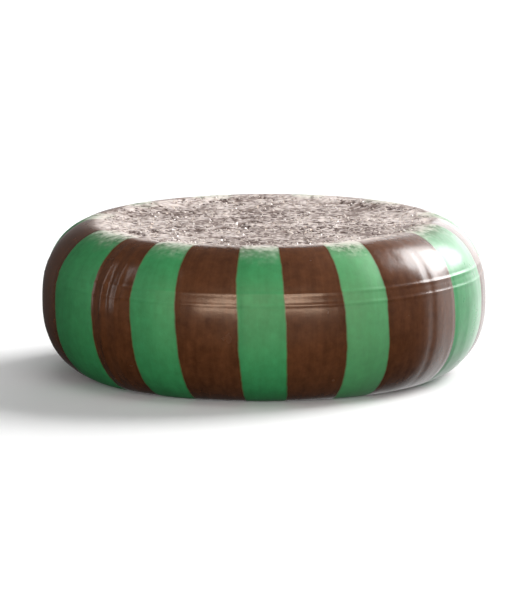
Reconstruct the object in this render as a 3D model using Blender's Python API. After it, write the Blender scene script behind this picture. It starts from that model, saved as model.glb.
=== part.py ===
"""A starlight mint: one round boiled sweet with coloured stripes round its rim.

The sweet lies on its lower face, on z = 0, with its axis on Z. Bearings are measured round that axis
from -Y, the front, towards +X. Its profile is one turned shape: two shallow dished faces, each inside
a narrow flat lip, and a full shoulder that bulges to the middle of the rim. The stripes run over the
rim from face to face. Each stripe, and each plain band between two stripes, is a slightly rounded
strip of sugar, because the rope that the sweet was cut from was rolled up from such strips.
"""

import math

import bmesh
import bpy

MM = 0.001

# Driving dimensions
DIAMETER = 24.0 * MM
THICKNESS = 8.3 * MM
LIP_OUTER_RADIUS = 9.1 * MM
LIP_WIDTH = 0.5 * MM
DISH_SLOPE_WIDTH = 1.1 * MM
DISH_DEPTH = 0.17 * MM
# How full the shoulder is: 2 and 2 would make it a quarter of an ellipse
SHOULDER_POWER_OUT = 1.7
SHOULDER_POWER_UP = 2.4

# The two fine ridges that the edge of the upper die leaves round the rim
SEAM_HEIGHTS = (5.55 * MM, 6.15 * MM)
SEAM_RELIEF = 0.05 * MM
SEAM_HALF_WIDTH = 0.13 * MM

# Each green stripe and the brown band that follows it, in degrees round the rim
STRIPES = (
    (12.6, 16.0),
    (12.3, 25.7),
    (20.0, 14.0),
    (11.0, 21.0),
    (16.0, 17.0),
    (12.0, 21.0),
    (14.0, 17.0),
    (11.0, 19.0),
    (13.0, 25.0),
    (19.5, 14.0),
    (12.7, 16.2),
)
FIRST_STRIPE_START = -6.6
# How far the middle of a strip stands out beyond its two edges
STRIPE_CROWN = 0.08 * MM
BAND_CROWN = 0.06 * MM
STRIPE_END_RADIUS = 8.6 * MM

# The sweet is pressed while warm and comes out a little oval, with one edge of its top a little low
OVAL = ((2, 0.0015, 0.6), (3, 0.0030, 2.1), (5, 0.0015, 4.0))
TOP_SLANT = 0.08 * MM
TOP_SLANT_BEARING = -80.0

# Mesh fineness
COLUMN_DEGREES = 3.4
SHOULDER_STEPS = 8
SLOPE_STEPS = 4
FACE_RINGS = (2.0 * MM, 4.0 * MM, 5.7 * MM)

# Finish of the boiled sugar
BROWN = (0.093, 0.037, 0.018)
GREEN = (0.061, 0.290, 0.102)
GLOSS = 0.3
SHARP_EDGE_DEGREES = 45

RADIUS = DIAMETER / 2
MID_HEIGHT = THICKNESS / 2
MERGE_DISTANCE = 0.001 * MM


def clear_scene():
    """Removes every object, so that only the sweet is left."""
    for obj in list(bpy.data.objects):
        bpy.data.objects.remove(obj)


def shoulder_radius(rise):
    """Radius of the rim at a height of rise above or below the sweet's mid-height."""
    share_up = min(1.0, abs(rise) / MID_HEIGHT) ** SHOULDER_POWER_UP
    share_out = (1.0 - share_up) ** (1.0 / SHOULDER_POWER_OUT)
    return LIP_OUTER_RADIUS + (RADIUS - LIP_OUTER_RADIUS) * share_out


def seam_relief(height):
    """How far the seam ridges stand out of the rim at a height."""
    relief = 0.0
    for seam in SEAM_HEIGHTS:
        offset = abs(height - seam) / SEAM_HALF_WIDTH
        relief += SEAM_RELIEF * max(0.0, 1.0 - offset)
    return relief


def rim_heights():
    """Heights of the rim's rings, top to bottom, with closer rings at the seam ridges."""
    quarter = [
        MID_HEIGHT * math.sin(step / SHOULDER_STEPS * math.pi / 2) ** (2 / SHOULDER_POWER_UP)
        for step in range(1, SHOULDER_STEPS)
    ]
    seams = [
        height + side * SEAM_HALF_WIDTH for height in SEAM_HEIGHTS for side in (-1, 0, 1)
    ]
    clear_of_seams = [
        MID_HEIGHT + rise
        for rise in quarter
        if not min(seams) - SEAM_HALF_WIDTH < MID_HEIGHT + rise < max(seams) + SEAM_HALF_WIDTH
    ]
    below = [MID_HEIGHT - rise for rise in quarter]
    return sorted(clear_of_seams + seams + [MID_HEIGHT] + below, reverse=True)


def face_profile(height, inwards):
    """One face's (radius, height) points from the axis to the lip's outer edge.

    height is the lip's level, and inwards is the way into the sweet: -1 at the top, 1 at the bottom.
    """
    floor = height + inwards * DISH_DEPTH
    lip_inner = LIP_OUTER_RADIUS - LIP_WIDTH
    dish_edge = lip_inner - DISH_SLOPE_WIDTH
    points = [(0.0, floor)]
    points += [(radius, floor) for radius in FACE_RINGS]
    for step in range(SLOPE_STEPS + 1):
        share = step / SLOPE_STEPS
        depth = DISH_DEPTH * (1.0 - smooth_share(share, 0.0, 1.0))
        points.append((dish_edge + share * DISH_SLOPE_WIDTH, height + inwards * depth))
    points.append((LIP_OUTER_RADIUS, height))
    return points


def mint_profile():
    """The whole turned profile, from the axis at the top round to the axis at the bottom."""
    rim = [
        (shoulder_radius(height - MID_HEIGHT) + seam_relief(height), height)
        for height in rim_heights()
    ]
    top = face_profile(THICKNESS, -1)
    bottom = face_profile(0.0, 1)
    return top + rim + bottom[::-1]


def rim_bands():
    """(start, width, is green) of every stripe and band, in degrees round the rim."""
    bands = []
    start = FIRST_STRIPE_START
    for green, brown in STRIPES:
        bands.append((start, green, True))
        bands.append((start + green, brown, False))
        start += green + brown
    return bands


def crown_at(bearing):
    """How far the strip of sugar at a bearing stands out of the plain rim, at mid-height.

    Each strip is a parabola across its width, which has 2/3 of its height on average, so the rim
    keeps its mean diameter.
    """
    for start, width, is_green in rim_bands():
        share = ((bearing - start) % 360.0) / width
        if share < 1.0:
            crown = STRIPE_CROWN if is_green else BAND_CROWN
            return crown * (4 * share * (1 - share) - 2 / 3)
    return 0.0


def smooth_share(value, low, high):
    """0 below low, 1 above high, and a smooth rise between them."""
    share = min(1.0, max(0.0, (value - low) / (high - low)))
    return share * share * (3 - 2 * share)


def shaped(point):
    """A point of the turned shape, moved to give the strips, the oval outline and the slanting top."""
    radius = math.hypot(point.x, point.y)
    bearing = math.atan2(point.x, -point.y)
    on_rim = smooth_share(radius, LIP_OUTER_RADIUS, RADIUS)
    stretch = 1.0 + sum(
        amount * math.cos(lobes * bearing + phase) for lobes, amount, phase in OVAL
    )
    new_radius = radius * stretch + on_rim * crown_at(math.degrees(bearing))
    scale = new_radius / radius if radius > MERGE_DISTANCE else 1.0
    upper = smooth_share(point.z, MID_HEIGHT, THICKNESS)
    slant = TOP_SLANT * math.cos(bearing - math.radians(TOP_SLANT_BEARING))
    return (
        point.x * scale,
        point.y * scale,
        point.z - upper * slant * radius / RADIUS,
    )


def spin_bands(mesh):
    """Turns the profile through every band of the rim, and returns the faces that each one makes."""
    start = math.radians(FIRST_STRIPE_START)
    verts = [
        mesh.verts.new((radius * math.sin(start), -radius * math.cos(start), height))
        for radius, height in mint_profile()
    ]
    ends = verts + [mesh.edges.new(pair) for pair in zip(verts, verts[1:])]
    made = []
    for _, width, is_green in rim_bands():
        before = set(mesh.faces)
        spun = bmesh.ops.spin(
            mesh,
            geom=ends,
            cent=(0, 0, 0),
            axis=(0, 0, 1),
            angle=math.radians(width),
            steps=math.ceil(width / COLUMN_DEGREES),
        )
        ends = spun["geom_last"]
        made.append((is_green, set(mesh.faces) - before))
    return made


def paint_stripes(made):
    """Gives the green material to the faces of each stripe, as far in as the stripes reach."""
    for is_green, faces in made:
        for face in faces:
            centre = face.calc_center_median()
            reaches = math.hypot(centre.x, centre.y) > STRIPE_END_RADIUS
            face.material_index = 1 if is_green and reaches else 0


def centre_on_axis(mesh):
    """Moves the sweet so that the middle of its outline is on the axis."""
    for axis in (0, 1):
        places = [vert.co[axis] for vert in mesh.verts]
        middle = (min(places) + max(places)) / 2
        for vert in mesh.verts:
            vert.co[axis] -= middle


def candy_material(name, colour, roughness):
    """A glossy boiled-sugar material."""
    material = bpy.data.materials.new(name)
    material.use_nodes = True
    material.diffuse_color = (*colour, 1.0)
    shader = material.node_tree.nodes["Principled BSDF"]
    shader.inputs["Base Color"].default_value = (*colour, 1.0)
    shader.inputs["Roughness"].default_value = roughness
    shader.inputs["Metallic"].default_value = 0.0
    return material


def make_mint():
    """Builds the sweet as one closed solid."""
    mesh = bmesh.new()
    paint_stripes(spin_bands(mesh))
    bmesh.ops.remove_doubles(mesh, verts=mesh.verts, dist=MERGE_DISTANCE)
    bmesh.ops.dissolve_degenerate(mesh, edges=mesh.edges, dist=MERGE_DISTANCE)
    for vert in mesh.verts:
        vert.co = shaped(vert.co)
    centre_on_axis(mesh)
    bmesh.ops.recalc_face_normals(mesh, faces=mesh.faces)
    data = bpy.data.meshes.new("mint")
    mesh.to_mesh(data)
    mesh.free()
    data.materials.append(candy_material("brown_candy", BROWN, GLOSS))
    data.materials.append(candy_material("green_candy", GREEN, GLOSS))
    data.shade_smooth()
    data.set_sharp_from_angle(angle=math.radians(SHARP_EDGE_DEGREES))
    mint = bpy.data.objects.new("mint", data)
    bpy.context.scene.collection.objects.link(mint)
    return mint


clear_scene()
make_mint()
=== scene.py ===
"""Dresses the starlight mint: a brown boiled sweet with green stripes and frosted faces.

The sweet lies on z = 0 with its axis on Z. A bearing is an angle round that axis from -Y, the
front, towards +X. Lengths are in metres and angles in degrees, unless a name says otherwise.
"""

from __future__ import annotations

import logging
import math
from dataclasses import dataclass
from enum import Enum

import bpy
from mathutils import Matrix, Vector


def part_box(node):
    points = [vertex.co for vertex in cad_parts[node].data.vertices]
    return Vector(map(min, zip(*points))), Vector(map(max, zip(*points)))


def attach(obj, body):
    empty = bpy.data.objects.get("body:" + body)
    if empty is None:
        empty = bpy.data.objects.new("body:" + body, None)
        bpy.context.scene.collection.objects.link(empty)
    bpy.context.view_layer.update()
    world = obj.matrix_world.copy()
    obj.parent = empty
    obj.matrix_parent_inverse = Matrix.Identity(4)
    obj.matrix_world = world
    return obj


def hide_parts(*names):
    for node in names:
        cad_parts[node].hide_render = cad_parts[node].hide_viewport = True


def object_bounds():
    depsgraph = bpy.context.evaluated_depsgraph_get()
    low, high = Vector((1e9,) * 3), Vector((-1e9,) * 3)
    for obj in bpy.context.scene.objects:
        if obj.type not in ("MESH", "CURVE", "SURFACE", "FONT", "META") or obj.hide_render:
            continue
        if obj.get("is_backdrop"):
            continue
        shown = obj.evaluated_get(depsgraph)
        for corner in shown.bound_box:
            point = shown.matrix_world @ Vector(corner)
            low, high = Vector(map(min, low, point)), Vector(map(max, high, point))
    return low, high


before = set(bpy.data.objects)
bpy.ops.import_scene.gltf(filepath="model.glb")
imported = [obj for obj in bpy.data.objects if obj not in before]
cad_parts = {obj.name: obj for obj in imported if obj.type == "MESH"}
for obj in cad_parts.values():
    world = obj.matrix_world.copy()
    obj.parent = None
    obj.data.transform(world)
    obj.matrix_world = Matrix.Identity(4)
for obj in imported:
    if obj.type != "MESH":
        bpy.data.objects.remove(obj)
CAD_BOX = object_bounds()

MM = 0.001
NODE = "mint"
BODY = "root"
EDGE_ATTRIBUTE = "stripe_edge"
SWIRL_ATTRIBUTE = "swirl"
PICTURE_SIZE = (528, 590)
DEGREES_ROUND = 360.0
# The sockets of a Mix node that carry colours
MIX_COLOURS_IN = (6, 7)
MIX_COLOUR_OUT = 2

Colour = tuple[float, float, float]
log = logging.getLogger("starlight_mint")


class CurveStyle(Enum):
    """How a curve runs between its points."""

    STRAIGHT = "VECTOR"
    SMOOTH = "AUTO"


class LightUse(Enum):
    """What a light does to the sweet."""

    ALL = "all"
    ONLY_GLOSS = "only gloss"
    ONLY_MATT = "only matt"


@dataclass(frozen=True)
class Term:
    """One output of a node tree, which goes into sums as a plain number does."""

    writer: TreeWriter
    socket: bpy.types.NodeSocket

    def __add__(self, other: Term | float) -> Term:
        """Returns self + other."""
        return self.writer.maths("ADD", self, other)

    def __radd__(self, other: float) -> Term:
        """Returns other + self."""
        return self.writer.maths("ADD", other, self)

    def __sub__(self, other: Term | float) -> Term:
        """Returns self - other."""
        return self.writer.maths("SUBTRACT", self, other)

    def __rsub__(self, other: float) -> Term:
        """Returns other - self."""
        return self.writer.maths("SUBTRACT", other, self)

    def __mul__(self, other: Term | float) -> Term:
        """Returns self * other."""
        return self.writer.maths("MULTIPLY", self, other)

    def __truediv__(self, other: Term | float) -> Term:
        """Returns self / other."""
        return self.writer.maths("DIVIDE", self, other)

    def __abs__(self) -> Term:
        """Returns self without its sign."""
        return self.writer.maths("ABSOLUTE", self)


class TreeWriter:
    """Adds nodes to a tree and wires them, for shape trees and material trees alike."""

    def __init__(self, tree: bpy.types.NodeTree) -> None:
        """Starts on a tree.

        Args:
            tree: The node tree that the nodes go into.
        """
        self.tree = tree

    def feed(self, socket: bpy.types.NodeSocket, value: object) -> None:
        """Sets an input to a constant, or links a term to it.

        Args:
            socket: The input.
            value: A Term, or a constant of the socket's own type.
        """
        if isinstance(value, Term):
            self.tree.links.new(value.socket, socket)
        else:
            socket.default_value = value

    def node(self, kind: str, inputs: dict | None = None, **settings: object) -> bpy.types.Node:
        """Adds a node.

        Args:
            kind: The node's type name.
            inputs: Values or terms by the input's name or number.
            **settings: The node's own options.

        Returns:
            The new node.
        """
        made = self.tree.nodes.new(kind)
        for name, value in settings.items():
            setattr(made, name, value)
        for name, value in (inputs or {}).items():
            self.feed(made.inputs[name], value)
        return made

    def term(self, kind: str, inputs: dict | None = None, output: str | int = 0,
             **settings: object) -> Term:
        """Adds a node and returns one of its outputs as a term.

        Args:
            kind: The node's type name.
            inputs: Values or terms by the input's name or number.
            output: The output's name or number.
            **settings: The node's own options.

        Returns:
            The chosen output.
        """
        return Term(self, self.node(kind, inputs, **settings).outputs[output])

    def maths(self, operation: str, *values: Term | float) -> Term:
        """Adds a Math node with these values in order, and returns its result."""
        return self.term("ShaderNodeMath", dict(enumerate(values)), operation=operation)

    def split(self, vector: Term) -> tuple[Term, Term, Term]:
        """Returns the x, y and z of a vector."""
        parts = self.node("ShaderNodeSeparateXYZ", {0: vector}).outputs
        return Term(self, parts[0]), Term(self, parts[1]), Term(self, parts[2])

    def join(self, x: Term | float, y: Term | float, z: Term | float) -> Term:
        """Returns the vector (x, y, z)."""
        return self.term("ShaderNodeCombineXYZ", {0: x, 1: y, 2: z})

    def scaled(self, vector: Term, factor: Term | float) -> Term:
        """Returns a vector times a number."""
        return self.term(
            "ShaderNodeVectorMath", {0: vector, "Scale": factor}, operation="SCALE"
        )

    def from_axis(self, x: Term, y: Term) -> Term:
        """Returns how far a place is from the Z axis."""
        return self.maths("SQRT", x * x + y * y)

    def rise(self, value: Term, low: Term | float, high: Term | float) -> Term:
        """Turns a value into a smooth step.

        Args:
            value: What the step is read at.
            low: Where the step starts. If it is above high, the step falls instead of rising.
            high: Where the step ends.

        Returns:
            0 below low, 1 above high and a smooth rise between them.
        """
        return self.term(
            "ShaderNodeMapRange",
            {"Value": value, "From Min": low, "From Max": high},
            interpolation_type="SMOOTHSTEP",
        )

    def curve(self, value: Term, points: list[tuple[float, float]], style: CurveStyle) -> Term:
        """Returns a curve through points, read at a value from 0 to 1.

        Args:
            value: Where the curve is read.
            points: (place, height) pairs, with places from 0 to 1 in order.
            style: How it runs between the points.

        Returns:
            The height of the curve.
        """
        node = self.node("ShaderNodeFloatCurve", {"Value": value})
        mapping = node.mapping
        heights = [height for _, height in points]
        mapping.clip_min_y = min(heights)
        mapping.clip_max_y = max(heights)
        line = mapping.curves[0]
        line.points[0].location = points[0]
        line.points[-1].location = points[-1]
        for place, height in points[1:-1]:
            line.points.new(place, height)
        for point in line.points:
            point.handle_type = style.value
        mapping.update()
        return Term(self, node.outputs[0])

    def mix(self, share: Term | float, first: Term | Colour, second: Term | Colour) -> Term:
        """Mixes two colours.

        Args:
            share: How much of the second colour there is, from 0 to 1.
            first: The colour at share 0.
            second: The colour at share 1.

        Returns:
            The mixed colour.
        """
        inputs = {0: share}
        for socket, colour in zip(MIX_COLOURS_IN, (first, second)):
            inputs[socket] = (*colour, 1.0) if isinstance(colour, tuple) else colour
        return self.term("ShaderNodeMix", inputs, output=MIX_COLOUR_OUT, data_type="RGBA")


def mix_numbers(share: Term, first: Term | float, second: Term | float) -> Term:
    """Returns a number that goes from first, at share 0, to second, at share 1."""
    return share * (second - first) + first


@dataclass(frozen=True)
class Lumps:
    """Random lumps and hollows of one size, for shapes and finishes alike."""

    size: float
    strength: float
    detail: float = 2.0
    roughness: float = 0.5

    def at(self, writer: TreeWriter, place: Term) -> Term:
        """Reads the lumps at a place.

        Args:
            writer: Writes into a shape tree or a material tree.
            place: The place on the sweet.

        Returns:
            Their height: round 0, and about half the strength up and down.
        """
        inputs = {
            "Vector": place,
            "Scale": 1.0 / self.size,
            "Detail": self.detail,
            "Roughness": self.roughness,
        }
        return (writer.term("ShaderNodeTexNoise", inputs) - 0.5) * self.strength


@dataclass(frozen=True)
class StripeLayout:
    """Where the green stripes lie round the rim."""

    # Each green stripe and the brown band that follows it
    widths: tuple[tuple[float, float], ...] = (
        (12.6, 16.0),
        (12.3, 25.7),
        (20.0, 14.0),
        (11.0, 21.0),
        (16.0, 17.0),
        (12.0, 21.0),
        (14.0, 17.0),
        (11.0, 19.0),
        (13.0, 25.0),
        (19.5, 14.0),
        (12.7, 16.2),
    )
    first_start: float = -6.6
    stripe_crown: float = 0.08 * MM
    band_crown: float = 0.06 * MM
    mean_of_crown: float = 2 / 3

    def strips(self) -> list[tuple[float, float, bool]]:
        """Lists the green stripes and the brown bands in order.

        Returns:
            (start, width, is green) of each strip, as shares of the way round.
        """
        found = []
        start = 0.0
        for pair in self.widths:
            for width, is_green in zip(pair, (True, False)):
                found.append((start / DEGREES_ROUND, width / DEGREES_ROUND, is_green))
                start += width
        return found

    def way_round(self, writer: TreeWriter, bearing_radians: Term) -> Term:
        """Returns how far round a bearing is, from 0 at the first stripe's start to 1."""
        turns = (bearing_radians - math.radians(self.first_start)) / math.tau
        return writer.maths("FRACT", turns)

    def edge_distance(self, writer: TreeWriter, way_round: Term) -> Term:
        """Writes how far each point is from the nearest edge of a stripe.

        Args:
            writer: Writes into the shape tree.
            way_round: How far round the point is, from 0 to 1.

        Returns:
            The angle to that edge in degrees, above 0 inside a stripe and below 0 outside.
        """
        points = [(0.0, 0.0)]
        for start, width, is_green in self.strips():
            half = width * DEGREES_ROUND / 2
            points.append((start + width / 2, half if is_green else -half))
            points.append((start + width, 0.0))
        return writer.curve(way_round, points, CurveStyle.STRAIGHT)

    def crown(self, writer: TreeWriter, way_round: Term) -> Term:
        """Writes the slight rounding of each strip of sugar.

        Args:
            writer: Writes into the shape tree.
            way_round: How far round the point is, from 0 to 1.

        Returns:
            How far the point stands out of the plain rim, in millimetres.
        """
        dip = -self.mean_of_crown * (self.stripe_crown + self.band_crown) / 2
        points = [(0.0, dip / MM)]
        for start, width, is_green in self.strips():
            height = self.stripe_crown if is_green else self.band_crown
            points.append((start + width / 2, (dip + height) / MM))
            points.append((start + width, dip / MM))
        return writer.curve(way_round, points, CurveStyle.SMOOTH)


@dataclass(frozen=True)
class SugarFinish:
    """How one colour of boiled sugar looks."""

    dark: Colour
    light: Colour
    roughness: float

    def colour(self, writer: TreeWriter, lightness: Term) -> Term:
        """Returns its colour, from dark to light as the lightness goes from 0 to 1."""
        return writer.mix(lightness, self.dark, self.light)


BROWN = SugarFinish(dark=(0.040, 0.0118, 0.0031), light=(0.121, 0.0420, 0.0152), roughness=0.25)
GREEN = SugarFinish(dark=(0.018, 0.155, 0.046), light=(0.036, 0.278, 0.090), roughness=0.60)
# The frost's pale tones are partly its own colour and partly a painted sheen of the light that
# grazes the faces
FROST_AND_SHEEN = SugarFinish(dark=(0.150, 0.109, 0.095), light=(0.735, 0.648, 0.606), roughness=0.85)


@dataclass(frozen=True)
class FrostPits:
    """The small ragged pits that the frosted faces are full of, where clear sugar shows."""

    colour: Colour = (0.078, 0.050, 0.043)
    ragged: Lumps = Lumps(0.36 * MM, 1.0, detail=2.5, roughness=0.6)
    crowded: Lumps = Lumps(3.5 * MM, 0.35, detail=1.0)
    # How high the lumps have to be for the edge and for the floor of a pit
    edge: float = 0.040
    floor: float = 0.150
    middle_height: float = 4.0 * MM
    face_shift: float = 20.0 * MM

    def share(self, writer: TreeWriter, place: Term) -> Term:
        """Writes where the pits are.

        It reads the height only to give the two faces different pits, so that a pit in the shape
        and its colour lie together.

        Args:
            writer: Writes into a shape tree or a material tree.
            place: The place on the sweet.

        Returns:
            1 in the pits and 0 between them.
        """
        x, y, z = writer.split(place)
        flat = writer.join(x, y, self.is_upper(writer, z) * self.face_shift)
        depth = self.ragged.at(writer, flat) + self.crowded.at(writer, flat)
        return writer.rise(depth, self.edge, self.floor)

    def is_upper(self, writer: TreeWriter, z: Term) -> Term:
        """Returns 1 on the upper half of the sweet and 0 on the lower half."""
        return writer.maths("GREATER_THAN", z, self.middle_height)


@dataclass(frozen=True)
class MintSugar:
    """The sweet's surface: streaked and glossy on the rim, frosted and grainy on the faces."""

    pits: FrostPits
    lip_radius: float
    stripe_reach: float = 0.8 * MM
    stripe_end_round: float = 0.9 * MM
    stripe_end: Lumps = Lumps(2.9 * MM, 0.9 * MM)
    stripe_side: Lumps = Lumps(0.7 * MM, 0.10 * MM)
    edge_softness: float = 0.07 * MM
    # How far past the lip the frost starts, and how soon it is thick, on brown and on green
    frost_start_brown: float = 0.45 * MM
    frost_start_green: float = 1.75 * MM
    # Below, the green's frost starts near the lip: painted shade on the lower rim
    frost_start_shaded_below: float = 0.60 * MM
    frost_fade_brown: float = 1.00 * MM
    frost_fade_green: float = 2.30 * MM
    frost_edge: Lumps = Lumps(1.25 * MM, 1.0 * MM, detail=3.0)
    frost_specks: Lumps = Lumps(0.33 * MM, 0.6 * MM)
    frost_cover: float = 0.90
    frost_thickness: Lumps = Lumps(3.4 * MM, 1.4, detail=3.0, roughness=0.7)
    # Where the heights of the crystals turn from dark to light frost
    frost_tones: tuple[float, float] = (0.15, 0.95)
    # How much lighter the ring along the lip is, from scuffing and a painted highlight,
    # and how wide that ring is
    scuff_and_highlight_lightness: float = 0.30
    scuff_and_highlight_width: float = 1.1 * MM
    crystal_size: float = 0.24 * MM
    crystal_height: float = 0.030 * MM
    crystal_top: float = 0.85
    crystal_slope: float = 0.8
    crystal_unevenness: Lumps = Lumps(0.59 * MM, 0.9, detail=3.0, roughness=0.6)
    # How far the streaks drift round for each metre up and in
    drift_up: float = 12.0
    drift_in: float = 8.0
    fine_streaks: Lumps = Lumps(math.radians(1.5), 0.75, detail=4.0, roughness=0.6)
    broad_patches: Lumps = Lumps(3.85 * MM, 0.8)
    mottle: Lumps = Lumps(0.476 * MM, 1.0, detail=3.0, roughness=0.65)
    pull_marks: Lumps = Lumps(math.radians(0.95), 0.004 * MM, detail=3.0, roughness=0.55)
    skin_bumps: Lumps = Lumps(0.385 * MM, 0.007 * MM)
    worn_patches: Lumps = Lumps(1.1 * MM, 0.12, detail=3.0)
    # The green at the far right is less worn: how much smoother it is, and how far to the right,
    # from -1 to 1, that starts and is whole
    polish: float = 0.31
    polish_edges: tuple[float, float] = (0.75, 0.90)
    # The green half way to the right is paler: a painted sheen of the bright light on that side.
    # How much paler, and how far to the right its middle and its reach to either side are
    painted_sheen: float = 0.13
    painted_sheen_colour: Colour = (0.40, 0.72, 0.36)
    painted_sheen_middle: float = 0.47
    painted_sheen_reach: float = 0.36
    refraction: float = 1.5
    specular: float = 0.42
    scatter: float = 0.10
    scatter_depth: float = 0.30 * MM
    scatter_colour: Colour = (1.0, 0.8, 0.5)

    def build(self) -> bpy.types.Material:
        """Makes the material.

        Returns:
            The material, which reads the stripes from the skin's own attribute.
        """
        material = bpy.data.materials.new("mint_sugar")
        material.use_nodes = True
        writer = TreeWriter(material.node_tree)
        shader = material.node_tree.nodes["Principled BSDF"]
        place = writer.term("ShaderNodeTexCoord", output="Object")
        x, y, z = writer.split(place)
        radius = writer.from_axis(x, y)
        along = writer.join(x / radius, y / radius, z * self.drift_up + radius * self.drift_in)
        green = self.green_share(writer, place, radius)
        frost = self.frost_share(writer, place, radius, z, green)
        crystals = self.crystals(writer, place)
        streaks = self.streaks(writer, along, place)
        to_right = x / radius
        # Painted sheen: the green is made paler half way to the right, where the bright light
        # falls
        sheen_share = writer.rise(abs(to_right - self.painted_sheen_middle), self.painted_sheen_reach, 0.0)
        stripe = GREEN.colour(writer, streaks)
        stripe = writer.mix(sheen_share * self.painted_sheen, stripe, self.painted_sheen_colour)
        sugar = writer.mix(green, BROWN.colour(writer, streaks), stripe)
        frosted = self.frost_and_sheen_colour(writer, place, radius, crystals)
        colour = writer.mix(frost * self.frost_cover, sugar, frosted)
        gloss = mix_numbers(green, BROWN.roughness, GREEN.roughness)
        gloss = gloss - green * writer.rise(to_right, *self.polish_edges) * self.polish
        gloss = self.worn_patches.at(writer, place) + gloss
        skin = self.pull_marks.at(writer, along) + self.skin_bumps.at(writer, place)
        height = mix_numbers(frost, skin, crystals * self.crystal_height)
        bump = writer.term("ShaderNodeBump", {"Strength": 1.0, "Distance": 1.0, "Height": height})
        writer.feed(shader.inputs["Base Color"], colour)
        writer.feed(shader.inputs["Roughness"], mix_numbers(frost, gloss, FROST_AND_SHEEN.roughness))
        writer.feed(shader.inputs["Normal"], bump)
        shader.inputs["IOR"].default_value = self.refraction
        shader.inputs["Specular IOR Level"].default_value = self.specular
        shader.inputs["Subsurface Weight"].default_value = self.scatter
        shader.inputs["Subsurface Radius"].default_value = self.scatter_colour
        shader.inputs["Subsurface Scale"].default_value = self.scatter_depth
        return material

    def kept(self, writer: TreeWriter, name: str) -> Term:
        """Returns a value that the skin keeps on its points under a name."""
        return writer.term("ShaderNodeAttribute", output="Fac", attribute_name=name)

    def streaks(self, writer: TreeWriter, along: Term, place: Term) -> Term:
        """Writes the fine lines that run along the strips of pulled sugar.

        Args:
            writer: Writes into the material's tree.
            along: A place that hardly changes along the way that the sugar was pulled.
            place: The place on the sweet.

        Returns:
            The lightness of the sugar, from 0 to 1.
        """
        fine = self.fine_streaks.at(writer, along)
        return fine + self.broad_patches.at(writer, place) + self.mottle.at(writer, place) + 0.5

    def green_share(self, writer: TreeWriter, place: Term, radius: Term) -> Term:
        """Writes where the sugar is green. The ends of the stripes are round.

        Args:
            writer: Writes into the material's tree.
            place: The place on the sweet.
            radius: How far the place is from the sweet's axis.

        Returns:
            1 in the green stripes and 0 outside them.
        """
        side = self.kept(writer, EDGE_ATTRIBUTE) * math.radians(1.0) * radius
        side = side + self.stripe_side.at(writer, place)
        end = radius - (self.lip_radius - self.stripe_reach) + self.stripe_end.at(writer, place)
        inside = writer.maths("SMOOTH_MIN", side, end, self.stripe_end_round)
        return writer.rise(inside, -self.edge_softness, self.edge_softness)

    def frost_share(
        self, writer: TreeWriter, place: Term, radius: Term, z: Term, green: Term
    ) -> Term:
        """Writes where the frost is.

        It spills further over the upper lip on the green stripes and makes their ends pale.
        Below, it spills much less far on the green, which keeps the lower green ends dark:
        painted shade where the sweet meets what it lies on.

        Args:
            writer: Writes into the material's tree.
            place: The place on the sweet.
            radius: How far the place is from the sweet's axis.
            z: The height of the place.
            green: 1 in the green stripes and 0 outside them.

        Returns:
            1 on the frosted part of a face and 0 on the glossy rim.
        """
        ragged = self.frost_edge.at(writer, place) + self.frost_specks.at(writer, place)
        upper = self.pits.is_upper(writer, z)
        start_green = mix_numbers(upper, self.frost_start_shaded_below, self.frost_start_green)
        start = mix_numbers(green, self.frost_start_brown, start_green) + self.lip_radius
        fade = mix_numbers(green, self.frost_fade_brown, self.frost_fade_green)
        return writer.rise(radius + ragged, start, start - fade)

    def frost_and_sheen_colour(
        self, writer: TreeWriter, place: Term, radius: Term, crystals: Term
    ) -> Term:
        """Writes the colour of the frost: pale, paler on the lip and dark in pits and crescent.

        Its paleness is partly a painted sheen, and on the lip partly a painted highlight.

        Args:
            writer: Writes into the material's tree.
            place: The place on the sweet.
            radius: How far the place is from the sweet's axis.
            crystals: The height of the fine crystals.

        Returns:
            The colour.
        """
        # Scuffing and a painted highlight make the frost lighter in a ring along the lip
        scuff_and_highlight = writer.rise(abs(radius - self.lip_radius), self.scuff_and_highlight_width, 0.0)
        scuff_and_highlight = scuff_and_highlight * self.scuff_and_highlight_lightness
        thickness = self.frost_thickness.at(writer, place)
        lightness = writer.rise(crystals + thickness + scuff_and_highlight, *self.frost_tones)
        pits = self.pits.share(writer, place) * (1.0 - scuff_and_highlight)
        bare = writer.maths("MAXIMUM", pits, self.kept(writer, SWIRL_ATTRIBUTE))
        return writer.mix(bare, FROST_AND_SHEEN.colour(writer, lightness), self.pits.colour)

    def crystals(self, writer: TreeWriter, place: Term) -> Term:
        """Writes the fine crystals on the faces.

        Args:
            writer: Writes into the material's tree.
            place: The place on the sweet.

        Returns:
            Their height, from about 0 to 1.
        """
        cells = writer.term(
            "ShaderNodeTexVoronoi", {"Vector": place, "Scale": 1.0 / self.crystal_size},
            output="Distance", feature="SMOOTH_F1",
        )
        top = self.crystal_unevenness.at(writer, place) + self.crystal_top
        return top - cells * self.crystal_slope


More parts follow.
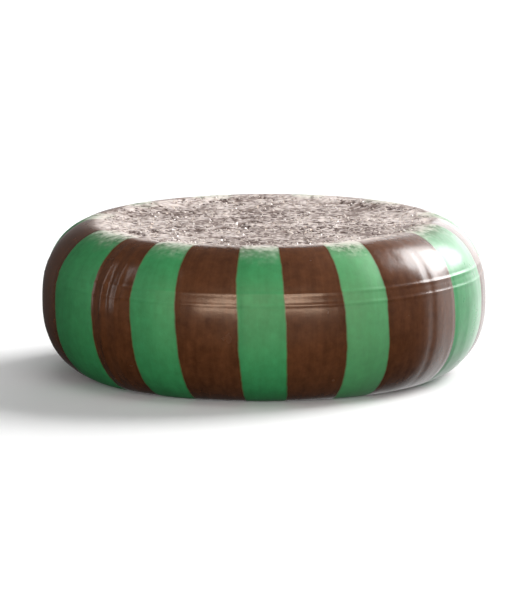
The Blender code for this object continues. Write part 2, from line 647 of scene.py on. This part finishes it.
@dataclass
class MintBody:
    """The whole sweet as one closed skin, with every relief that shows."""

    stripes: StripeLayout
    pits: FrostPits
    radius: float = 12.0 * MM
    thickness: float = 8.3 * MM
    lip_radius: float = 9.1 * MM
    lip_width: float = 0.5 * MM
    slope_width: float = 1.1 * MM
    dish_depth: float = 0.17 * MM
    power_out: float = 1.7
    power_up: float = 2.4
    oval: tuple[tuple[int, float, float], ...] = (
        (2, 0.0015, 0.6),
        (3, 0.0030, 2.1),
        (5, 0.0015, 4.0),
    )
    top_slant: float = 0.08 * MM
    top_slant_bearing: float = -80.0
    # The rim: the strips waver and lean, and have waves, seams, grooves, creases and streaks
    strip_waver: Lumps = Lumps(7.7 * MM, math.radians(3.0))
    strip_lean: float = 0.9
    waves: Lumps = Lumps(5.9 * MM, 0.10 * MM)
    ripples: Lumps = Lumps(2.33 * MM, 0.035 * MM)
    seam_low: float = 5.55 * MM
    seam_high: float = 6.15 * MM
    seam_half_width: float = 0.13 * MM
    seam_relief: float = 0.040 * MM
    seam_patches: Lumps = Lumps(13.3 * MM, 1.0)
    seam_fade: float = 0.30
    groove_depth: float = 0.035 * MM
    groove_degrees: float = 1.7
    groove_mean: float = 0.8
    groove_unevenness: Lumps = Lumps(3.85 * MM, 1.6)
    # Folds in the brown bands: bearing, half width in degrees and height
    creases: tuple[tuple[float, float, float], ...] = (
        (-40.5, 0.9, 0.060 * MM),
        (-43.5, 1.0, -0.055 * MM),
        (-45.5, 1.0, 0.075 * MM),
        (-48.5, 1.3, -0.050 * MM),
        (49.0, 2.2, -0.025 * MM),
        (97.0, 1.4, 0.040 * MM),
        (171.0, 1.8, -0.045 * MM),
        (-142.0, 1.5, 0.045 * MM),
        (-139.0, 1.4, -0.035 * MM),
    )
    crease_unevenness: Lumps = Lumps(4.2 * MM, 1.0)
    crease_waver: float = 2.4
    crease_swell: float = 1.2
    crease_mean: float = 0.85
    streak_drift: float = 25.0
    streaks: Lumps = Lumps(math.radians(3.6), 0.025 * MM)
    # The faces: pits, grain and hummocks, and a crescent in the middle
    pit_depth: float = 0.055 * MM
    grain: Lumps = Lumps(0.5 * MM, 1.0)
    grain_depth: float = 0.045 * MM
    hummocks: Lumps = Lumps(1.4 * MM, 1.0, detail=1.0)
    hummock_depth: float = 0.07 * MM
    # The grain and the hummocks lie mostly below the plain face
    sunk_share: float = 0.25
    frost_spill: float = 0.45 * MM
    swirl_radius: float = 1.35 * MM
    swirl_depth: float = 0.17 * MM
    swirl_half_width: float = 0.58 * MM
    swirl_winding: float = 0.22 * MM
    swirl_bearing: float = 55.0
    swirl_unevenness: Lumps = Lumps(1.1 * MM, 0.5 * MM)
    # The cosines of the angle from the crescent's middle at which it ends and is whole
    swirl_ends: tuple[float, float] = (-0.45, 0.45)
    across_points: int = 141
    up_points: int = 101
    # (place, climb) pairs: more rings where the seams are
    ring_spacing: tuple[tuple[float, float], ...] = (
        (0.0, -1.0),
        (0.46, 0.13),
        (0.74, 0.42),
        (1.0, 1.0),
    )

    def build(self, sugar: bpy.types.Material) -> bpy.types.Object:
        """Makes the sweet.

        Args:
            sugar: The material of its skin.

        Returns:
            The finished piece.
        """
        sizes = {
            "Radius": self.radius,
            "Thickness": self.thickness,
            "Lip Radius": self.lip_radius,
            "Lip Width": self.lip_width,
            "Slope Width": self.slope_width,
            "Dish Depth": self.dish_depth,
            "Power Out": self.power_out,
            "Power Up": self.power_up,
            "Seam Low": self.seam_low,
            "Seam High": self.seam_high,
            "Seam Half Width": self.seam_half_width,
            "Seam Relief": self.seam_relief,
            "Groove Depth": self.groove_depth,
            "Top Slant": self.top_slant,
            "Pit Depth": self.pit_depth,
            "Grain Depth": self.grain_depth,
            "Hummock Depth": self.hummock_depth,
            "Swirl Radius": self.swirl_radius,
            "Swirl Depth": self.swirl_depth,
        }
        tree, writer, given = new_shape_tree("mint_shape", sizes)
        shape = self.write_shape(writer, given)
        shape = writer.term(
            "GeometryNodeTriangulate", {"Mesh": shape}, quad_method="SHORTEST_DIAGONAL"
        )
        shape = writer.term("GeometryNodeSetShadeSmooth", {"Geometry": shape})
        shape = writer.term("GeometryNodeRealizeInstances", {"Geometry": shape})
        shape = writer.term("GeometryNodeSetMaterial", {"Geometry": shape, "Material": sugar})
        finish_shape_tree(writer, shape)
        body = plain_object("mint_body", tree, sizes)
        self.centre(body)
        return body

    def store(self, writer: TreeWriter, shape: Term, name: str, value: Term) -> Term:
        """Returns the shape with a value kept on each of its points under a name."""
        return writer.term(
            "GeometryNodeStoreNamedAttribute",
            {"Geometry": shape, "Name": name, "Value": value},
            data_type="FLOAT",
            domain="POINT",
        )

    def named(self, writer: TreeWriter, name: str) -> Term:
        """Returns a value kept on the points under a name."""
        return writer.term("GeometryNodeInputNamedAttribute", {"Name": name}, data_type="FLOAT")

    def write_shape(self, writer: TreeWriter, given: dict[str, Term]) -> Term:
        """Writes the rule that turns a cube of points into the sweet.

        The cube's top and bottom become the faces, and its four sides the rim.

        Args:
            writer: Writes into the shape tree.
            given: The tree's inputs by name.

        Returns:
            The shaped geometry.
        """
        cube = writer.term(
            "GeometryNodeMeshCube",
            {
                "Size": (2.0, 2.0, 2.0),
                "Vertices X": self.across_points,
                "Vertices Y": self.across_points,
                "Vertices Z": self.up_points,
            },
        )
        x, y, z = writer.split(writer.term("GeometryNodeInputPosition"))
        # The tangents space the points evenly round each ring
        east = writer.maths("TANGENT", x * (math.pi / 4))
        north = writer.maths("TANGENT", y * (math.pi / 4))
        cube = self.store(writer, cube, "ring_share", writer.maths("MAXIMUM", abs(x), abs(y)))
        cube = self.store(writer, cube, "bearing", writer.maths("ARCTAN2", east, north * -1.0))
        cube = self.store(writer, cube, "climb", z)
        bearing = self.named(writer, "bearing")
        shape, up = self.turned_shape(writer, given, cube, bearing)
        position = writer.term("GeometryNodeInputPosition")
        leaning = bearing + self.strip_waver.at(writer, position)
        leaning = leaning + up * math.radians(self.strip_lean)
        way_round = self.stripes.way_round(writer, leaning)
        edge = self.stripes.edge_distance(writer, way_round)
        swirl = self.swirl(writer, given, position, bearing)
        shape = self.store(writer, shape, EDGE_ATTRIBUTE, edge)
        shape = self.store(writer, shape, SWIRL_ATTRIBUTE, swirl)
        rim = self.rim_relief(writer, given, position, bearing, way_round, edge)
        relief = rim + self.face_relief(writer, given, position) - swirl * given["Swirl Depth"]
        normal = writer.term("GeometryNodeInputNormal")
        return writer.term(
            "GeometryNodeSetPosition", {"Geometry": shape, "Offset": writer.scaled(normal, relief)}
        )

    def turned_shape(
        self, writer: TreeWriter, given: dict[str, Term], cube: Term, bearing: Term
    ) -> tuple[Term, Term]:
        """Writes the smooth sweet: a turned profile, a little oval and slanted.

        Args:
            writer: Writes into the shape tree.
            given: The tree's inputs by name.
            cube: The cube of points, with the place of each on the sweet kept on it.
            bearing: The bearing of each point, in radians.

        Returns:
            The smooth shape, and each point's share of the half thickness, from -1 to 1.
        """
        climb = self.named(writer, "climb") * 0.5 + 0.5
        climb = writer.curve(climb, list(self.ring_spacing), CurveStyle.STRAIGHT)
        radius, height, up = self.profile(writer, given, self.named(writer, "ring_share"), climb)
        lobes = (
            writer.maths("COSINE", bearing * count + phase) * amount
            for count, amount, phase in self.oval
        )
        radius = radius * (sum(lobes) + 1.0)
        across = writer.maths("COSINE", bearing - math.radians(self.top_slant_bearing))
        lean = given["Top Slant"] * across * radius / given["Radius"]
        height = height - lean * writer.rise(height, given["Thickness"] * 0.5, given["Thickness"])
        place = writer.join(
            radius * writer.maths("SINE", bearing),
            radius * writer.maths("COSINE", bearing) * -1.0,
            height,
        )
        return writer.term("GeometryNodeSetPosition", {"Geometry": cube, "Position": place}), up

    def profile(
        self, writer: TreeWriter, given: dict[str, Term], ring: Term, climb: Term
    ) -> tuple[Term, Term, Term]:
        """Writes the profile that the sweet is turned from.

        Args:
            writer: Writes into the shape tree.
            given: The tree's inputs by name.
            ring: The share of the way from the axis to the lip, 1 all over the rim.
            climb: The share of the way up the rim, from -1 to 1.

        Returns:
            The radius, the height and the share of the half thickness, from -1 to 1.
        """
        turn = climb * (math.pi / 2)
        cosine = writer.maths("MAXIMUM", writer.maths("COSINE", turn), 0.0)
        sine = writer.maths("SINE", turn)
        out = writer.maths("POWER", cosine, writer.maths("DIVIDE", 2.0, given["Power Out"]))
        lift = writer.maths("POWER", abs(sine), writer.maths("DIVIDE", 2.0, given["Power Up"]))
        up = lift * writer.maths("SIGN", sine)
        lip = given["Lip Radius"]
        radius = ring * lip + (given["Radius"] - lip) * out
        slope_top = lip - given["Lip Width"]
        slope_bottom = slope_top - given["Slope Width"]
        dish = writer.rise(radius, slope_top, slope_bottom) * given["Dish Depth"]
        half = given["Thickness"] * 0.5
        return radius, half + up * (half - dish), up

    def rim_relief(
        self, writer: TreeWriter, given: dict[str, Term], position: Term, bearing: Term,
        way_round: Term, edge: Term,
    ) -> Term:
        """Writes all that stands out of the turned rim or is sunk into it.

        Args:
            writer: Writes into the shape tree.
            given: The tree's inputs by name.
            position: Where each point is.
            bearing: Its bearing, in radians.
            way_round: How far round it is for the stripes, from 0 to 1.
            edge: The angle to the nearest stripe edge, in degrees.

        Returns:
            How far each point moves along its normal.
        """
        x, y, z = writer.split(position)
        on_rim = writer.rise(writer.from_axis(x, y), given["Lip Radius"], given["Radius"])
        crown = self.stripes.crown(writer, way_round) * MM
        patches = self.seam_patches.at(writer, position)
        seams = self.seam(writer, given, z, "Seam Low") + self.seam(writer, given, z, "Seam High")
        seams = seams * writer.rise(patches, -self.seam_fade, self.seam_fade)
        along = writer.join(
            writer.maths("SINE", bearing), writer.maths("COSINE", bearing), z * self.streak_drift
        )
        waves = self.waves.at(writer, position) + self.ripples.at(writer, position)
        depth = self.groove_unevenness.at(writer, position) + self.groove_mean
        groove = writer.rise(abs(edge), self.groove_degrees, 0.0) * given["Groove Depth"] * depth
        folds = self.folds(writer, bearing, self.crease_unevenness.at(writer, position))
        return on_rim * (crown + seams + self.streaks.at(writer, along) + waves + folds - groove)

    def face_relief(self, writer: TreeWriter, given: dict[str, Term], position: Term) -> Term:
        """Writes the pits, grain and hummocks of the frosted faces.

        Args:
            writer: Writes into the shape tree.
            given: The tree's inputs by name.
            position: Where each point is.

        Returns:
            How far each point moves along its normal.
        """
        x, y, _ = writer.split(position)
        on_face = writer.rise(
            writer.from_axis(x, y),
            given["Lip Radius"] + self.frost_spill,
            given["Lip Radius"] - given["Lip Width"],
        )
        pits = self.pits.share(writer, position) * given["Pit Depth"]
        grain = (self.grain.at(writer, position) - self.sunk_share) * given["Grain Depth"]
        hummocks = self.hummocks.at(writer, position) - self.sunk_share
        return on_face * (grain - pits + hummocks * given["Hummock Depth"])

    def folds(self, writer: TreeWriter, bearing: Term, uneven: Term) -> Term:
        """Writes the folds that run up the rim where strips were pressed together.

        Args:
            writer: Writes into the shape tree.
            bearing: The bearing of each point, in radians.
            uneven: Lumps round 0 that make them waver and fade.

        Returns:
            Their height.
        """
        waver = uneven * math.radians(self.crease_waver)
        swell = uneven * self.crease_swell + self.crease_mean
        heights = []
        for middle, half_width, height in self.creases:
            away = writer.maths("WRAP", bearing - math.radians(middle) + waver, -math.pi, math.pi)
            heights.append(writer.rise(abs(away), math.radians(half_width), 0.0) * height)
        return sum(heights) * swell

    def seam(self, writer: TreeWriter, given: dict[str, Term], z: Term, name: str) -> Term:
        """Returns the height of one of the fine ridges that the die leaves round the rim."""
        near = writer.rise(abs(z - given[name]), given["Seam Half Width"], 0.0)
        return near * given["Seam Relief"]

    def swirl(
        self, writer: TreeWriter, given: dict[str, Term], position: Term, bearing: Term
    ) -> Term:
        """Writes the crescent in the middle of each face.

        The rope of sugar was twisted there when it was cut. The crescent winds inwards a little,
        and is on opposite sides of the two faces.

        Args:
            writer: Writes into the shape tree.
            given: The tree's inputs by name.
            position: Where each point is.
            bearing: Its bearing, in radians.

        Returns:
            1 in the crescent and 0 away from it.
        """
        x, y, z = writer.split(position)
        side = writer.maths("SIGN", z - given["Thickness"] * 0.5)
        turned = bearing + side * math.radians(self.swirl_bearing)
        wound = writer.maths("SINE", turned) * self.swirl_winding
        off_ring = abs(writer.from_axis(x, y) - given["Swirl Radius"] - wound)
        off_ring = off_ring + self.swirl_unevenness.at(writer, position)
        facing = writer.rise(writer.maths("COSINE", turned), *self.swirl_ends)
        return writer.rise(off_ring, self.swirl_half_width, 0.0) * facing

    def centre(self, body: bpy.types.Object) -> None:
        """Moves the skin's points so that its outline has the same middle as the CAD model's.

        Args:
            body: The sweet.
        """
        points = [vertex.co for vertex in body.data.vertices]
        for axis in (0, 1):
            places = [point[axis] for point in points]
            wanted = (CAD_BOX[0][axis] + CAD_BOX[1][axis]) / 2
            shift = wanted - (min(places) + max(places)) / 2
            for point in points:
                point[axis] += shift


@dataclass
class SugarGrains:
    """Tiny grains of sugar that cling to the faces."""

    face_radius: float
    per_square_mm: float = 3.5
    smallest: float = 0.06 * MM
    largest: float = 0.15 * MM
    flatness: tuple[float, float] = (0.8, 0.6)
    edge: Lumps = Lumps(1.43 * MM, 0.8 * MM)
    dish_only_below: float = 1.0 * MM
    ring_left: float = 0.9 * MM
    seed: int = 7

    def build(self, body: bpy.types.Object, material: bpy.types.Material) -> bpy.types.Object:
        """Scatters the grains over the sweet.

        Args:
            body: The sweet that they lie on.
            material: What they are made of.

        Returns:
            The grains as one piece.
        """
        sizes = {
            "Density": self.per_square_mm / MM**2,
            "Smallest": self.smallest,
            "Largest": self.largest,
            "Face Radius": self.face_radius,
        }
        tree, writer, given = new_shape_tree("grain_scatter", sizes, takes_mesh=True)
        points = writer.term(
            "GeometryNodeDistributePointsOnFaces",
            {
                "Mesh": given["Mesh"],
                "Selection": self.on_face(writer, given),
                "Density": given["Density"],
                "Seed": self.seed,
            },
            output="Points",
        )
        size = writer.term(
            "FunctionNodeRandomValue",
            {"Min": given["Smallest"], "Max": given["Largest"], "Seed": self.seed + 1},
            output="Value",
            data_type="FLOAT",
        )
        turn = writer.term(
            "FunctionNodeRandomValue",
            {"Max": (math.tau, math.tau, math.tau), "Seed": self.seed + 2},
            data_type="FLOAT_VECTOR",
        )
        width, height = self.flatness
        placed = writer.term(
            "GeometryNodeInstanceOnPoints",
            {
                "Points": points,
                "Instance": writer.term("GeometryNodeMeshCube", {"Size": (1.0, 1.0, 1.0)}),
                "Rotation": turn,
                "Scale": writer.join(size, size * width, size * height),
            },
        )
        shape = writer.term("GeometryNodeRealizeInstances", {"Geometry": placed})
        shape = writer.term("GeometryNodeSetMaterial", {"Geometry": shape, "Material": material})
        finish_shape_tree(writer, shape)
        return plain_object("sugar_grains", tree, sizes, body.data.copy())

    def on_face(self, writer: TreeWriter, given: dict[str, Term]) -> Term:
        """Writes where grains may lie: inside an uneven ring on each face.

        Below, they stay in the dish, clear of what the sweet lies on.

        Args:
            writer: Writes into the shape tree.
            given: The tree's inputs by name.

        Returns:
            1 there and 0 elsewhere.
        """
        place = writer.term("GeometryNodeInputPosition")
        x, y, z = writer.split(place)
        radius = writer.from_axis(x, y) + self.edge.at(writer, place)
        below = writer.maths("LESS_THAN", z, self.dish_only_below)
        return writer.maths("LESS_THAN", radius, given["Face Radius"] - below * self.ring_left)


def new_shape_tree(
    name: str, sizes: dict[str, float], takes_mesh: bool = False
) -> tuple[bpy.types.NodeTree, TreeWriter, dict[str, Term]]:
    """Starts a shape tree.

    Args:
        name: What the tree is called.
        sizes: Its inputs, by name.
        takes_mesh: Whether it works on the object's own mesh.

    Returns:
        The tree, its writer and its inputs as terms.
    """
    tree = bpy.data.node_groups.new(name, "GeometryNodeTree")
    tree.interface.new_socket("Mesh", in_out="INPUT", socket_type="NodeSocketGeometry")
    for size in sizes:
        tree.interface.new_socket(size, in_out="INPUT", socket_type="NodeSocketFloat")
    tree.interface.new_socket("Mesh", in_out="OUTPUT", socket_type="NodeSocketGeometry")
    writer = TreeWriter(tree)
    entry = tree.nodes.new("NodeGroupInput")
    names = [*sizes, "Mesh"] if takes_mesh else list(sizes)
    return tree, writer, {size: Term(writer, entry.outputs[size]) for size in names}


def finish_shape_tree(writer: TreeWriter, shape: Term) -> None:
    """Makes the shape the tree's result."""
    writer.feed(writer.tree.nodes.new("NodeGroupOutput").inputs[0], shape)


def plain_object(
    name: str, tree: bpy.types.NodeTree, sizes: dict[str, float],
    start: bpy.types.Mesh | None = None,
) -> bpy.types.Object:
    """Runs a shape tree once and keeps its result as a plain mesh.

    Args:
        name: The new object's name.
        tree: The shape tree.
        sizes: The value of each of its inputs.
        start: The mesh that it works on, if it needs one.

    Returns:
        An object at the origin with no modifier.
    """
    made = bpy.data.objects.new(name, start or bpy.data.meshes.new(name))
    bpy.context.scene.collection.objects.link(made)
    modifier = made.modifiers.new(name, "NODES")
    modifier.node_group = tree
    for item in tree.interface.items_tree:
        if item.in_out == "INPUT" and item.name in sizes:
            modifier[item.identifier] = sizes[item.name]
    graph = bpy.context.evaluated_depsgraph_get()
    mesh = bpy.data.meshes.new_from_object(
        made.evaluated_get(graph), preserve_all_data_layers=True, depsgraph=graph
    )
    made.modifiers.remove(modifier)
    made.data = mesh
    mesh.name = name
    return made


@dataclass(frozen=True)
class GrainSugar:
    """The clear pale sugar of the loose grains."""

    dark: Colour = (0.34, 0.26, 0.22)
    light: Colour = (0.80, 0.74, 0.70)
    shades: Lumps = Lumps(1.1 * MM, 1.0)
    roughness: float = 0.2
    roughness_patches: Lumps = Lumps(0.67 * MM, 0.2)
    refraction: float = 1.52

    def build(self) -> bpy.types.Material:
        """Makes the material.

        Returns:
            The material.
        """
        material = bpy.data.materials.new("sugar_grain")
        material.use_nodes = True
        writer = TreeWriter(material.node_tree)
        shader = material.node_tree.nodes["Principled BSDF"]
        place = writer.term("ShaderNodeTexCoord", output="Object")
        shade = self.shades.at(writer, place) + 0.5
        roughness = self.roughness_patches.at(writer, place) + self.roughness
        writer.feed(shader.inputs["Base Color"], writer.mix(shade, self.dark, self.light))
        writer.feed(shader.inputs["Roughness"], roughness)
        shader.inputs["IOR"].default_value = self.refraction
        return material


@dataclass(frozen=True)
class Softbox:
    """A flat soft light that faces the sweet."""

    name: str
    bearing: float
    elevation: float
    distance: float
    width: float
    height: float
    brightness: float
    colour: Colour = (1.0, 1.0, 1.0)
    use: LightUse = LightUse.ALL

    def build(self, target: Vector) -> None:
        """Makes the light.

        Args:
            target: The place that it faces.
        """
        light = bpy.data.lights.new(self.name, "AREA")
        light.shape = "RECTANGLE"
        light.size = self.width
        light.size_y = self.height
        light.energy = self.brightness * math.pi * self.width * self.height
        light.color = self.colour
        lamp = bpy.data.objects.new(self.name, light)
        bpy.context.scene.collection.objects.link(lamp)
        outwards = direction(self.bearing, self.elevation)
        lamp.location = target + outwards * self.distance
        lamp.rotation_euler = outwards.to_track_quat("Z", "Y").to_euler()
        lamp.visible_camera = False
        lamp.visible_glossy = self.use is not LightUse.ONLY_MATT
        lamp.visible_diffuse = self.use is not LightUse.ONLY_GLOSS


SOFTBOXES = (
    Softbox("key", bearing=122.0, elevation=32.0, distance=0.6, width=0.34, height=0.34,
            brightness=16.0),
    Softbox("back", bearing=154.0, elevation=12.0, distance=0.9, width=0.80, height=0.38,
            brightness=1.5),
    Softbox("left", bearing=-90.0, elevation=25.0, distance=0.8, width=0.10, height=0.80,
            brightness=4.0, use=LightUse.ONLY_GLOSS),
    Softbox("fill", bearing=-2.0, elevation=14.0, distance=0.7, width=1.70, height=0.30,
            brightness=4.4, use=LightUse.ONLY_MATT),
    Softbox("overhead", bearing=10.0, elevation=72.0, distance=0.7, width=0.50, height=0.40,
            brightness=1.3, use=LightUse.ONLY_MATT),
    Softbox("strip", bearing=0.0, elevation=17.0, distance=0.7, width=1.05, height=0.18,
            brightness=12.0, colour=(1.0, 0.76, 0.56), use=LightUse.ONLY_GLOSS),
)


def direction(bearing: float, elevation: float) -> Vector:
    """Works out a direction.

    Args:
        bearing: The angle round the sweet, in degrees.
        elevation: The angle up from level, in degrees.

    Returns:
        The unit vector that points there from the sweet.
    """
    bearing, elevation = math.radians(bearing), math.radians(elevation)
    level = math.cos(elevation)
    return Vector((level * math.sin(bearing), -level * math.cos(bearing), math.sin(elevation)))


@dataclass(frozen=True)
class Sky:
    """A soft sky: darker on the left and below, and brightest in one level direction."""

    brightness: float = 0.21
    left_brightness: float = 0.10
    # How far to the right, from -1 to 1, the dark left goes over into the rest
    left_edges: tuple[float, float] = (-0.6, 0.2)
    low_share: float = 0.30
    # How far up, from -1 to 1, the dark below goes over into the rest
    low_edges: tuple[float, float] = (-0.35, 0.0)
    bright_bearing: float = 141.0
    bright_brightness: float = 2.0
    # The cosines of the angle from its middle at which the bright patch ends and is whole
    bright_edges: tuple[float, float] = (0.62, 0.95)

    def build(self) -> None:
        """Makes the sky."""
        world = bpy.data.worlds.new("sky")
        world.use_nodes = True
        writer = TreeWriter(world.node_tree)
        x, y, z = writer.split(writer.term("ShaderNodeTexCoord", output="Generated"))
        middle = direction(self.bright_bearing, 0.0)
        bright = writer.rise(x * middle.x + y * middle.y, *self.bright_edges)
        right = writer.rise(x, *self.left_edges)
        even = mix_numbers(right, self.left_brightness, self.brightness)
        above = mix_numbers(writer.rise(z, *self.low_edges), self.low_share, 1.0)
        strength = mix_numbers(bright, even * above, self.bright_brightness)
        background = world.node_tree.nodes["Background"]
        background.inputs["Color"].default_value = (1.0, 1.0, 1.0, 1.0)
        writer.feed(background.inputs["Strength"], strength)
        bpy.context.scene.world = world


@dataclass
class Studio:
    """The camera, the pale floor and the soft lights."""

    target: Vector
    subject_width: float
    elevation: float = 9.4
    lens: float = 500.0
    long_side_sensor: float = 36.0
    share_of_width: float = 0.84
    # The nearest and farthest things that the camera sees, as shares of its distance
    clip_shares: tuple[float, float] = (0.01, 100.0)
    floor_size: float = 8.0
    floor_colour: Colour = (0.88, 0.88, 0.88)
    floor_roughness: float = 0.7
    floor_specular: float = 0.2

    def build(self) -> None:
        """Makes the camera first, and then the lights, the sky and the floor."""
        self.build_camera()
        for softbox in SOFTBOXES:
            softbox.build(self.target)
        Sky().build()
        self.build_floor()
        bpy.context.scene.view_settings.view_transform = "Standard"
        bpy.context.scene.view_settings.look = "None"

    def build_camera(self) -> None:
        """Makes the camera, far off with a long lens, and frames the sweet."""
        data = bpy.data.cameras.new("camera")
        data.lens = self.lens
        data.sensor_width = self.long_side_sensor
        camera = bpy.data.objects.new("camera", data)
        bpy.context.scene.collection.objects.link(camera)
        width, height = PICTURE_SIZE
        picture_width = self.long_side_sensor * width / height
        distance = self.subject_width / self.share_of_width * self.lens / picture_width
        outwards = direction(0.0, self.elevation)
        camera.location = self.target + outwards * distance
        camera.rotation_euler = outwards.to_track_quat("Z", "Y").to_euler()
        data.clip_start, data.clip_end = (distance * share for share in self.clip_shares)
        bpy.context.scene.camera = camera

    def build_floor(self) -> None:
        """Makes the pale matt floor, which the sweet's low gloss doesn't show."""
        mesh = bpy.data.meshes.new("floor")
        half = self.floor_size / 2
        corners = [(-half, -half, 0.0), (half, -half, 0.0), (half, half, 0.0), (-half, half, 0.0)]
        mesh.from_pydata(corners, [], [(0, 1, 2, 3)])
        floor = bpy.data.objects.new("floor", mesh)
        bpy.context.scene.collection.objects.link(floor)
        material = bpy.data.materials.new("floor")
        material.use_nodes = True
        shader = material.node_tree.nodes["Principled BSDF"]
        shader.inputs["Base Color"].default_value = (*self.floor_colour, 1.0)
        shader.inputs["Roughness"].default_value = self.floor_roughness
        shader.inputs["Specular IOR Level"].default_value = self.floor_specular
        mesh.materials.append(material)
        floor.visible_glossy = False
        floor.visible_diffuse = False
        floor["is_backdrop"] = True


def hand_over(piece: bpy.types.Object) -> None:
    """Tells the frame what a piece rides on and stands for, and reports it.

    Args:
        piece: The finished piece.
    """
    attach(piece, BODY)
    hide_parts(NODE)
    piece.data.calc_loop_triangles()
    log.info("%s: %d triangles", piece.name, len(piece.data.loop_triangles))


def main() -> None:
    """Builds the studio and the sweet, in order."""
    logging.basicConfig(level=logging.INFO, format="%(name)s: %(message)s")
    low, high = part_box(NODE)
    Studio(target=(low + high) / 2, subject_width=high.x - low.x).build()
    pits = FrostPits()
    body = MintBody(StripeLayout(), pits)
    sugar = MintSugar(pits, body.lip_radius)
    skin = body.build(sugar.build())
    hand_over(skin)
    grains = SugarGrains(body.lip_radius - body.lip_width)
    hand_over(grains.build(skin, GrainSugar().build()))
    boxes = {"cad": CAD_BOX, "visual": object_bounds()}
    for name, box in boxes.items():
        log.info("%s box: %s mm", name, [round((b - a) / MM, 3) for a, b in zip(*box)])


if __name__ == "__main__":
    main()
